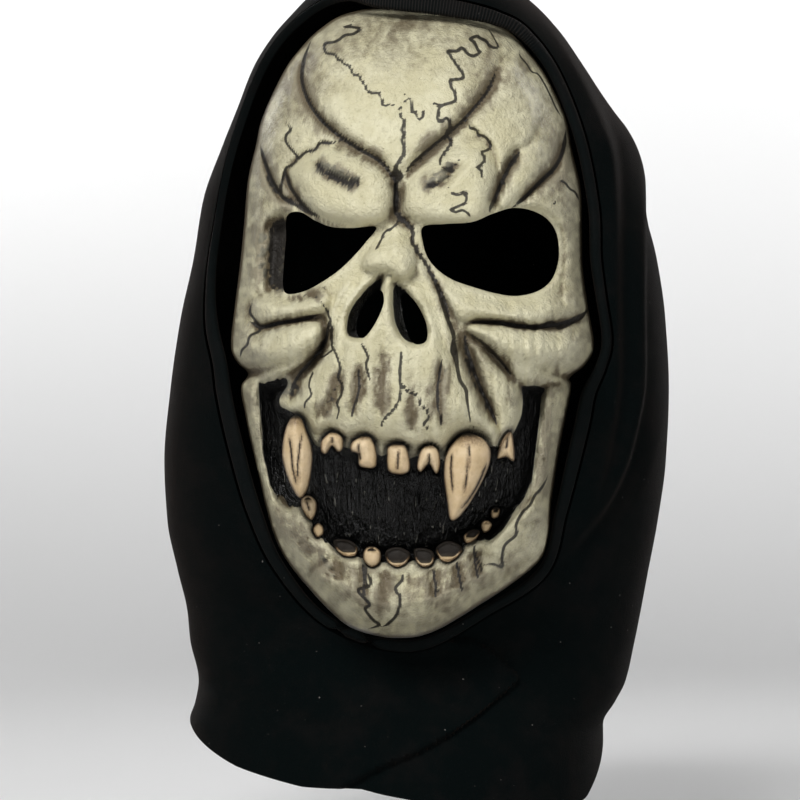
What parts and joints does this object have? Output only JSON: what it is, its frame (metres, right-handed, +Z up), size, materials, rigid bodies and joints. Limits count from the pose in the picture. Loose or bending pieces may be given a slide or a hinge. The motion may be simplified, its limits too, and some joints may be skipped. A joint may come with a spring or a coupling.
{
  "type": "skull mask",
  "caption": "Latex skull face mask with sculpted cracks, open eye and nose holes, bared separate teeth and an attached black fleece hood open at the neck.",
  "frame": {"origin": "highest point inside the crown of the hood, where the worn mask rests and is carried", "axes": "+Z up, -Y out of the face, +X to the right as seen from in front"},
  "size_m": [0.1992, 0.2303, 0.3311],
  "materials": {
    "latex_bone": "satin painted latex with a dark wash in the creases",
    "tooth_ivory": "satin painted latex",
    "black_fleece": "soft napped fleece",
    "ribbed_hem": "fine ribbed knit"
  },
  "bodies": {
    "root": {"face_shell": "latex_bone", "upper_fang_left": "tooth_ivory", "upper_tooth_1": "tooth_ivory", "upper_tooth_2": "tooth_ivory", "upper_tooth_3": "tooth_ivory", "upper_tooth_4": "tooth_ivory", "upper_fang_right": "tooth_ivory", "upper_tooth_rear": "tooth_ivory", "lower_tooth_1": "tooth_ivory", "lower_tooth_2": "tooth_ivory", "lower_tooth_3": "tooth_ivory", "lower_tooth_4": "tooth_ivory", "lower_tooth_5": "tooth_ivory", "lower_tooth_6": "tooth_ivory", "lower_tooth_7": "tooth_ivory", "lower_tooth_8": "tooth_ivory", "lower_tooth_9": "tooth_ivory", "lower_tooth_10": "tooth_ivory", "hood": "black_fleece", "face_hem": "ribbed_hem"}
  },
  "joints": []
}
